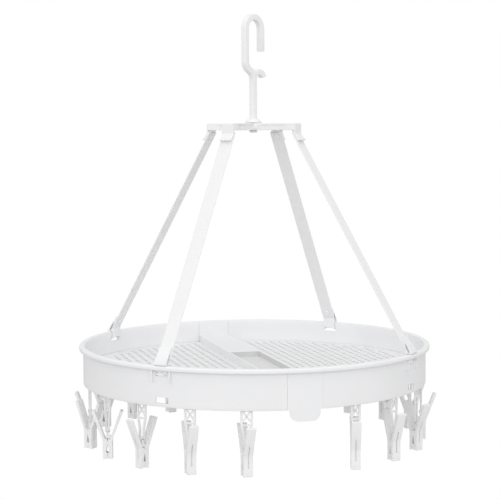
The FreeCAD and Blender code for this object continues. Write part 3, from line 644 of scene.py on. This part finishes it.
def sweep_bar(bm, route, section):
    """Sweep a section along a route that lies in the XZ plane, with its far end eased."""
    rings = []
    last = len(route) - 1
    for number, ((x, z), heading) in enumerate(route):
        ahead = Vector((math.cos(heading), 0, math.sin(heading)))
        aside = Vector((math.sin(heading), 0, -math.cos(heading)))
        level = Vector((0, 1, 0))
        spot = Vector((x, 0, z))
        sizes = [(1.0, 0.0)]
        if number == last:
            sizes = [(1.0, -0.7 * MM), (0.95, -0.25 * MM), (0.84, 0.0)]
        for size, shift in sizes:
            rings.append([bm.verts.new(spot + ahead * shift + aside * p.x * size + level * p.y * size)
                          for p in section])
    count = len(section)
    for a, b in zip(rings, rings[1:]):
        for i in range(count):
            j = (i + 1) % count
            bm.faces.new((a[i], a[j], b[j], b[i]))
    bm.faces.new(list(reversed(rings[0])))
    bm.faces.new(rings[-1])


def lathe(bm, profile, steps=48, matrix=Matrix()):
    """Turn a profile of (radius, height) pairs about the Z axis; zero radii close the ends."""
    rings = []
    for radius, z in profile:
        if radius < TINY:
            rings.append([bm.verts.new(matrix @ Vector((0, 0, z)))])
        else:
            rings.append([bm.verts.new(matrix @ Vector((radius * math.cos(2 * math.pi * i / steps),
                                                        radius * math.sin(2 * math.pi * i / steps), z)))
                          for i in range(steps)])
    for a, b in zip(rings, rings[1:]):
        for i in range(steps):
            j = (i + 1) % steps
            corners = [a[i % len(a)], a[j % len(a)], b[j % len(b)], b[i % len(b)]]
            unique = list(dict.fromkeys(corners))
            bm.faces.new(unique)


def make_hook():
    """Bar, tongue and domed foot of the hook."""
    bm = bmesh.new()
    sweep_bar(bm, hook_route(), bar_section(HOOK_BAR, HOOK_CORNER))
    sweep_bar(bm, tongue_route(), bar_section(HOOK_BAR - 0.1 * MM, HOOK_CORNER))
    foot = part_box("hook")[0][2]
    profile = [(0, 0), (8.8, 0), (9.2, 0.4), (9.1, 1.1), (8.4, 2.4), (7.2, 3.6), (5.8, 4.5), (4.5, 5.0),
               (0, 5.2)]
    lathe(bm, [(radius * MM, foot + height * MM) for radius, height in profile])
    bm.transform(turned(HOOK_PLANE))
    hook = finish_piece(bm, "hook_bar", HOOK_PLASTIC, 0)
    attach(hook, "hanger")
    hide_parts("hook")


# ---------------------------------------------------------------- hub, pin and clips

STRAP_FOOT = (196 * MM, RIM_LEVEL + 2 * MM)
STRAP_HEAD = (52 * MM, RIM_LEVEL + 246 * MM)
STRAP_LENGTH = math.hypot(STRAP_FOOT[0] - STRAP_HEAD[0], STRAP_HEAD[1] - STRAP_FOOT[1])
CLIP_HALF = 7.3 * MM
KNUCKLE_HALF = 5.3 * MM       # half width of an upper clip between the tines of the hub
PRONG_OFFSET = 6.9 * MM       # of a lower clip's prongs from its middle


def strap_frame(azimuth):
    """Axes of a strap at its foot: X outward from its face, Y across it, Z up its length."""
    lean = math.atan2(STRAP_FOOT[0] - STRAP_HEAD[0], STRAP_HEAD[1] - STRAP_FOOT[1])
    spot = Matrix.Translation((STRAP_FOOT[0], 0, STRAP_FOOT[1]))
    return turned(azimuth) @ spot @ Matrix.Rotation(-lean, 4, "Y")


def circle(radius, steps=32):
    """Outline of a circle about the origin."""
    angles = [2 * math.pi * i / steps for i in range(steps)]
    return [(radius * math.cos(a), radius * math.sin(a)) for a in angles]


def shape(bm, outline, half, matrix):
    """Profile of (x, z) pairs in millimetres, as wide as twice half, moved by a matrix."""
    part = bmesh.new()
    side_prism(part, [(x * MM, z * MM) for x, z in outline], -half, half)
    part.transform(matrix)
    join(bm, part)


def join(bm, part):
    """Add one mesh under construction to another."""
    mesh = bpy.data.meshes.new("part")
    part.to_mesh(mesh)
    part.free()
    bm.from_mesh(mesh)
    bpy.data.meshes.remove(mesh)


def add_stud(bm, matrix, distance):
    """Rivet head on the inside of a strap, with its dimple."""
    at = matrix @ Matrix.Translation((-2.6 * MM, 0, distance)) @ Matrix.Rotation(-math.pi / 2, 4, "Y")
    profile = [(0, -1.6), (1.9, -1.6), (1.9, 0), (3.3, 0.1), (3.3, 0.7), (2.9, 1.15), (1.7, 1.3), (1.3, 0.9),
               (0, 0.8)]
    lathe(bm, [(radius * MM, height * MM) for radius, height in profile], 28, at)


def make_hub():
    """Round boss with four arms. Each arm has a web, a flange, two tines and a cross bar."""
    low, high = (corner[2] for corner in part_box("hub"))
    bm = bmesh.new()
    boss = [(3.3, 0.0), (9.4, 0.0), (10.6, 0.7), (11.4, 2.2), (11.6, 4.2), (11.2, 6.2), (10.4, 7.5),
            (9.6, 8.0), (3.3, 8.0), (3.3, 0.0)]
    lathe(bm, [(radius * MM, low + height * MM) for radius, height in boss], 64)
    outline = [(5.0, -6.5), (11.0, -6.5), (40.0, -5.5), (46.0, -7.6), (56.6, -7.6), (56.6, -5.6),
               (46.0, -5.6), (46.0, 5.6), (56.6, 5.6), (56.6, 7.6), (46.0, 7.6), (40.0, 5.5), (11.0, 6.5),
               (5.0, 6.5)]
    web = [(x, y - math.copysign(0.55, y)) if x < 46 else (x, y) for x, y in outline]
    step = high - 2.3 * MM
    for azimuth in AZIMUTHS:
        matrix = turned(azimuth)
        prism(bm, [(x * MM, y * MM) for x, y in outline], step, high, matrix)
        prism(bm, [(x * MM, y * MM) for x, y in web], low, step + 0.2 * MM, matrix)
        centre = matrix @ Matrix.Translation((STRAP_HEAD[0], 0, (low + high) / 2))
        shape(bm, circle(2.0), 7.0 * MM, centre)
    bmesh.ops.remove_doubles(bm, verts=bm.verts, dist=1e-6)
    hub = finish_piece(bm, "hub_cross", HOOK_PLASTIC, 0.5 * MM)
    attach(hub, "tray")
    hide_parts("hub")


def make_pin():
    """Rivet that carries the hub, with its domed head below."""
    low, high = (corner[2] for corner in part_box("swivel_pin"))
    foot = [(0, 0), (2.6, 0.1), (3.7, 0.5), (4.4, 1.3), (4.6, 2.2), (4.5, 2.6), (3.2, 2.6)]
    bm = bmesh.new()
    lathe(bm, [(radius * MM, low + height * MM) for radius, height in foot] + [(3.2 * MM, high), (0, high)])
    pin = finish_piece(bm, "pin", HOOK_PLASTIC, 0)
    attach(pin, "hanger")
    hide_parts("swivel_pin")


def make_upper_clip(number, azimuth):
    """Clip round a cross bar of the hub: plate on the strap, knuckle, cover over the tines and stud."""
    matrix = strap_frame(azimuth)
    top = matrix @ Matrix.Translation((0, 0, STRAP_LENGTH))
    bm = bmesh.new()
    shape(bm, [(-1.2, -18.0), (0.2, -18.0), (0.6, -18.6), (2.7, -18.7), (2.7, -17.4), (1.5, -15.6),
               (1.2, -12.0), (1.2, -6.2), (-1.2, -6.2)], CLIP_HALF, top)
    shape(bm, [(-1.4, -7.2), (1.2, -7.2), (2.0, -4.0), (2.6, -1.0), (-2.6, -1.0)], KNUCKLE_HALF, top)
    shape(bm, circle(3.9), KNUCKLE_HALF, top)
    level = turned(azimuth) @ Matrix.Translation((0, 0, STRAP_HEAD[1]))
    shape(bm, [(55.8, 3.6), (57.0, 3.6), (57.6, 3.0), (57.6, -7.2), (55.8, -4.0)], CLIP_HALF, level)
    add_stud(bm, top, -12.5 * MM)
    clip = finish_piece(bm, "strap_clip_%d" % number, PLASTIC, 0.3 * MM)
    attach(clip, "tray")
    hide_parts("upper_clip_%d" % number)


def make_lower_clip(number, azimuth):
    """Clip on the rim: plate on the strap, gusset, inside leg, two hooked prongs in the slot and stud."""
    matrix = strap_frame(azimuth)
    rim = turned(azimuth) @ Matrix.Translation((0, 0, RIM_LEVEL))
    bm = bmesh.new()
    shape(bm, [(-1.2, -0.4), (1.2, -0.6), (1.2, 18.4), (0.6, 19.0), (-1.2, 19.0)], CLIP_HALF, matrix)
    shape(bm, [(190.9, 0.3), (199.3, 0.3), (199.7, 0.9), (199.6, 2.2), (190.4, 13.8), (191.2, 8.0),
               (190.9, 2.9)], CLIP_HALF, rim)
    shape(bm, [(190.9, -6.6), (193.1, -6.6), (193.1, 0.6), (190.9, 0.6)], CLIP_HALF, rim)
    for middle in (-PRONG_OFFSET, PRONG_OFFSET):
        prong = rim @ Matrix.Translation((0, middle, 0))
        shape(bm, [(190.9, -8.7), (196.4, -8.7), (197.1, -8.3), (196.4, -7.6), (193.1, -7.6), (193.1, -6.4),
                   (190.9, -6.4)], 1.3 * MM, prong)
    add_stud(bm, matrix, 13.5 * MM)
    clip = finish_piece(bm, "rim_clip_%d" % number, PLASTIC, 0.25 * MM)
    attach(clip, "tray")
    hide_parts("lower_clip_%d" % number)


# ---------------------------------------------------------------- pegs

PEG_WIDTH = 10.0 * MM
LOOP_RADIUS = 191 * MM
GROOVE_HALF = 0.65 * MM


def lever_outline():
    """Side outline of a lever, pivot at the origin: jaw with teeth, fulcrum, splayed handle."""
    outline = [(0.02, -18.5), (1.6, -18.8), (3.2, -19.1), (4.9, -19.5), (5.3, -19.0),
               (5.3, -17.6), (5.0, -17.4), (5.0, -16.8), (5.3, -16.6), (5.2, -8.0), (5.3, 1.0),
               (5.6, 2.6), (6.2, 4.4), (16.9, 32.0), (16.9, 32.8), (16.4, 33.4), (14.2, 33.5), (13.6, 33.0),
               (3.4, 4.6), (2.9, 3.4), (2.0, 2.6), (0.4, 2.3), (0.02, 0.1), (0.02, -3.4), (0.3, -4.2),
               (1.7, -11.4), (1.3, -12.2), (0.02, -12.9)]
    for tooth in range(6):
        level = -13.2 - tooth * 0.86
        outline += [(0.02, level), (0.22, level - 0.4), (0.02, level - 0.8)]
    return [(x * MM, z * MM) for x, z in outline]


def groove_outline():
    """Outline of the narrow groove that runs down the outside of a lever, round its bend."""
    points = [(3.7, -10.6), (7.5, -10.6), (7.8, 1.0), (13.0, 13.0), (7.9, 13.0), (4.6, 4.4), (3.7, 1.0)]
    return [(x * MM, z * MM) for x, z in points]


def side_prism(bm, outline, low, high):
    """Prism along Y on an outline of (x, z) pairs."""
    stand = Matrix.Rotation(math.pi / 2, 4, "X")
    prism(bm, outline, -high, -low, stand)


def cut_flutes(bm):
    """Shallow flutes down the inside face of a handle."""
    flute = [(x * MM, z * MM) for x, z in ((2.0, 6.4), (4.35, 6.4), (13.1, 31.0), (10.0, 31.0))]
    for side in (-1, 1):
        for low, high in ((0.9, 2.1), (3.0, 4.2)):
            side_prism(bm, flute, *sorted((side * low * MM, side * high * MM)))


def make_lever_mesh():
    """Lever about its pivot, with the groove outside and the flutes inside."""
    bm = bmesh.new()
    side_prism(bm, lever_outline(), -PEG_WIDTH / 2, PEG_WIDTH / 2)
    lever = finish_piece(bm, "lever", PEG_PLASTIC, 0.13 * MM)
    apply_modifiers(lever)
    carve(lever, lambda bm: side_prism(bm, groove_outline(), -GROOVE_HALF, GROOVE_HALF))
    carve(lever, cut_flutes)
    mesh = lever.data
    bpy.data.objects.remove(lever)
    return mesh


def ring_prism(bm, outer, inner, width, matrix, steps=28):
    """Short tube about the Y axis."""
    rings = []
    for radius, y in ((outer, -width / 2), (outer, width / 2), (inner, width / 2), (inner, -width / 2)):
        rings.append([bm.verts.new(matrix @ Vector((x, y, z))) for x, z in circle(radius, steps)])
    for k in range(4):
        a, b = rings[k], rings[(k + 1) % 4]
        for i in range(steps):
            j = (i + 1) % steps
            bm.faces.new((a[i], a[j], b[j], b[i]))


def axes_of(joint):
    """Matrix that puts a hinge's point at the origin and a lever's width along Y."""
    x, y, _ = joint["axis"]
    across = Vector((x, y, 0)).normalized()
    outward = across.cross(Vector((0, 0, 1)))
    matrix = Matrix((outward, across, Vector((0, 0, 1)))).transposed().to_4x4()
    matrix.translation = joint["pos_m"]
    return matrix


def make_pegs():
    """Two copies of one lever to each peg. The inner one also has the hanging eye."""
    lever_mesh = make_lever_mesh()
    for number in range(1, 19):
        name = "peg_%02d" % number
        opening, swing = JOINTS[name + "_open"], JOINTS[name + "_swing"]
        spot = axes_of(opening) @ turned(180)
        place_lever(lever_mesh, name + "_outer_lever", spot, name + "_jaw", name + "_outer")
        eye = axes_of(swing)
        inner = spot @ turned(180)
        bm = bmesh.new()
        bm.from_mesh(lever_mesh)
        bm.transform(inner)
        ring_prism(bm, 2.4 * MM, 1.45 * MM, 3.0 * MM, eye)
        shape(bm, [(-1.5, 3.0), (3.2, 3.0), (4.2, 5.8), (1.5, 6.4), (1.5, 9.6), (-1.5, 9.6)], 1.5 * MM, inner)
        lever = finish_piece(bm, name + "_inner_lever", PEG_PLASTIC, 0)
        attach(lever, name)
        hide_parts(name + "_inner")


def make_loops():
    """Flat braced loops that the pegs hang from, one mesh to each half of the tray."""
    rail, brace, thick = 2.3, 1.9, 0.9 * MM
    outline = [(-5.3, -36.1), (5.3, -36.1), (5.3, -58.0), (2.8, -70.0), (2.8, -80.0), (-2.8, -80.0),
               (-2.8, -70.0), (-5.3, -58.0)]
    braces = [((-4.6, -44.0), (4.6, -56.0)), ((4.6, -44.0), (-4.6, -56.0)), ((-4.4, -59.0), (4.4, -59.0)),
              ((-5.0, -44.0), (5.0, -44.0))]
    spots = peg_spots()
    for name, numbers in (("right", range(1, 10)), ("left", range(10, 19))):
        bm = bmesh.new()
        for number in numbers:
            matrix = turned(spots[number]) @ Matrix.Translation((LOOP_RADIUS, 0, RIM_LEVEL)) @ turned(90)
            add_band(bm, outline, rail, thick, matrix)
            for ends in braces:
                add_band(bm, ends, brace, thick * 0.8, matrix, closed=False)
        loops = finish_piece(bm, name + "_loops", PEG_PLASTIC, 0.3 * MM)
        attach(loops, "tray")
        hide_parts(name + "_peg_loops")


def band_edges(points, width, closed):
    """Both edges of a flat bar of even width that follows points, mitred at its bends."""
    count = len(points)
    sides = ([], [])
    for i, point in enumerate(points):
        here = Vector(point)
        ahead = []
        if closed or i:
            ahead.append((here - Vector(points[i - 1])).normalized())
        if closed or i < count - 1:
            ahead.append((Vector(points[(i + 1) % count]) - here).normalized())
        direction = sum(ahead, Vector((0, 0))).normalized()
        normal = Vector((-direction.y, direction.x))
        reach = width / 2 / max(0.4, normal.dot(Vector((-ahead[0].y, ahead[0].x))))
        for side, sign in zip(sides, (-1, 1)):
            side.append(here + normal * reach * sign)
    return sides


def add_band(bm, points, width, half_depth, matrix, closed=True):
    """Flat bar of even width that follows points of (x, z) in millimetres."""
    count = len(points)
    sides = band_edges(points, width, closed)
    (low_a, low_b), (high_a, high_b) = (
        [[bm.verts.new(matrix @ Vector((p.x * MM, depth, p.y * MM))) for p in side] for side in sides]
        for depth in (-half_depth, half_depth))
    for i in range(count if closed else count - 1):
        j = (i + 1) % count
        bm.faces.new((low_a[i], low_a[j], low_b[j], low_b[i]))
        bm.faces.new((high_a[i], high_b[i], high_b[j], high_a[j]))
        bm.faces.new((low_a[i], high_a[i], high_a[j], low_a[j]))
        bm.faces.new((low_b[i], low_b[j], high_b[j], high_b[i]))
    if not closed:
        for i in (0, count - 1):
            bm.faces.new((low_a[i], low_b[i], high_b[i], high_a[i]))


def place_lever(template, name, matrix, body, node):
    """Copy of the lever on its own body, in place of a node."""
    mesh = template.copy()
    mesh.transform(matrix)
    mesh.name = name
    mesh.materials.clear()
    lever = new_object(name, mesh, PEG_PLASTIC)
    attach(lever, body)
    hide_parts(node)


# ---------------------------------------------------------------- stage

CAMERA_TURN = -15.53          # the camera stands this far round from looking along +Y
CAMERA_DISTANCE = 1.699
CAMERA_HEIGHT = 0.246         # above the rim plane
CAMERA_PITCH = 0.0825         # looking down, in radians
CAMERA_YAW = -0.0026
CAMERA_ROLL = 0.0049
CAMERA_LENS = 107.37
SENSOR = 36.0
FLOOR_SIZE = 14.0
FLOOR_DROP = 0.35             # the object hangs this far above the floor


def make_camera():
    """Camera above the level of the rim, aimed slightly down."""
    turn = turned(CAMERA_TURN)
    ahead = turn @ Vector((math.sin(CAMERA_YAW), math.cos(CAMERA_YAW), 0))
    across = turn @ Vector((math.cos(CAMERA_YAW), -math.sin(CAMERA_YAW), 0))
    forward = ahead * math.cos(CAMERA_PITCH) - Vector((0, 0, math.sin(CAMERA_PITCH)))
    upward = ahead * math.sin(CAMERA_PITCH) + Vector((0, 0, math.cos(CAMERA_PITCH)))
    right = across * math.cos(CAMERA_ROLL) - upward * math.sin(CAMERA_ROLL)
    above = across * math.sin(CAMERA_ROLL) + upward * math.cos(CAMERA_ROLL)
    data = bpy.data.cameras.new("camera")
    data.sensor_width = SENSOR
    data.lens = CAMERA_LENS
    data.clip_end = 50
    camera = bpy.data.objects.new("camera", data)
    axes = Matrix((right, above, -forward)).transposed().to_4x4()
    axes.translation = turn @ Vector((0, -CAMERA_DISTANCE, 0)) + Vector((0, 0, RIM_LEVEL + CAMERA_HEIGHT))
    camera.matrix_world = axes
    bpy.context.scene.collection.objects.link(camera)
    bpy.context.scene.camera = camera


def make_floor():
    """Pale floor that lights the object from below and looks white to the camera, so no horizon shows."""
    bm = bmesh.new()
    bmesh.ops.create_grid(bm, x_segments=2, y_segments=2, size=FLOOR_SIZE)
    mesh = bpy.data.meshes.new("floor")
    bm.to_mesh(mesh)
    bm.free()
    material, nodes, links, shader = new_material("pale_floor")
    shader.inputs["Base Color"].default_value = (0.66, 0.66, 0.66, 1)
    shader.inputs["Roughness"].default_value = 0.9
    glow = nodes.new("ShaderNodeEmission")
    seen = nodes.new("ShaderNodeLightPath")
    mix = nodes.new("ShaderNodeMixShader")
    links.new(seen.outputs["Is Camera Ray"], mix.inputs["Fac"])
    links.new(shader.outputs["BSDF"], mix.inputs[1])
    links.new(glow.outputs["Emission"], mix.inputs[2])
    links.new(mix.outputs["Shader"], nodes["Material Output"].inputs["Surface"])
    floor = new_object("floor", mesh, material)
    floor.location.z = cad_box[0][2] - FLOOR_DROP


def make_light(name, spot, target, size, power):
    """Round soft lamp at a spot, aimed at a target."""
    data = bpy.data.lights.new(name, "AREA")
    data.shape = "DISK"
    data.size = size
    data.energy = power
    lamp = bpy.data.objects.new(name, data)
    lamp.location = spot
    lamp.rotation_euler = (Vector(target) - Vector(spot)).to_track_quat("-Z", "Y").to_euler()
    bpy.context.scene.collection.objects.link(lamp)


def make_world():
    """White backdrop, and a soft sky that is brighter on the camera's side."""
    world = bpy.data.worlds.new("studio")
    bpy.context.scene.world = world
    world.use_nodes = True
    nodes, links = world.node_tree.nodes, world.node_tree.links
    soft = nodes["Background"]
    soft.inputs["Color"].default_value = (1, 1, 1, 1)
    facing = nodes.new("ShaderNodeVectorMath")
    facing.operation = "DOT_PRODUCT"
    links.new(nodes.new("ShaderNodeTexCoord").outputs["Generated"], facing.inputs[0])
    facing.inputs[1].default_value = (-0.27, -0.96, 0.1)
    strength = nodes.new("ShaderNodeMapRange")
    for socket, value in (("From Min", -0.3), ("From Max", 1.0), ("To Min", 0.77), ("To Max", 1.2)):
        strength.inputs[socket].default_value = value
    links.new(facing.outputs["Value"], strength.inputs["Value"])
    links.new(strength.outputs["Result"], soft.inputs["Strength"])
    backdrop = nodes.new("ShaderNodeBackground")
    backdrop.inputs["Color"].default_value = (1, 1, 1, 1)
    backdrop.inputs["Strength"].default_value = 1.0
    seen = nodes.new("ShaderNodeLightPath")
    mix = nodes.new("ShaderNodeMixShader")
    links.new(seen.outputs["Is Camera Ray"], mix.inputs["Fac"])
    links.new(soft.outputs["Background"], mix.inputs[1])
    links.new(backdrop.outputs["Background"], mix.inputs[2])
    links.new(mix.outputs["Shader"], nodes["World Output"].inputs["Surface"])


paint_frame()
for strap_number, strap_azimuth in enumerate(AZIMUTHS, start=1):
    make_strap(strap_number, strap_azimuth)
    make_upper_clip(strap_number, strap_azimuth)
    make_lower_clip(strap_number, strap_azimuth)
make_hub()
make_pin()
make_walls()
make_bridge()
make_hook()
make_pegs()
make_loops()

make_camera()
make_floor()
make_world()
make_light("top", (-0.3, -0.5, 2.2), (0, 0, -0.35), 2.0, 5)
make_light("key", (-1.1, -2.6, 0.6), (0, 0, -0.35), 1.4, 7)
bpy.context.scene.view_settings.view_transform = "Standard"
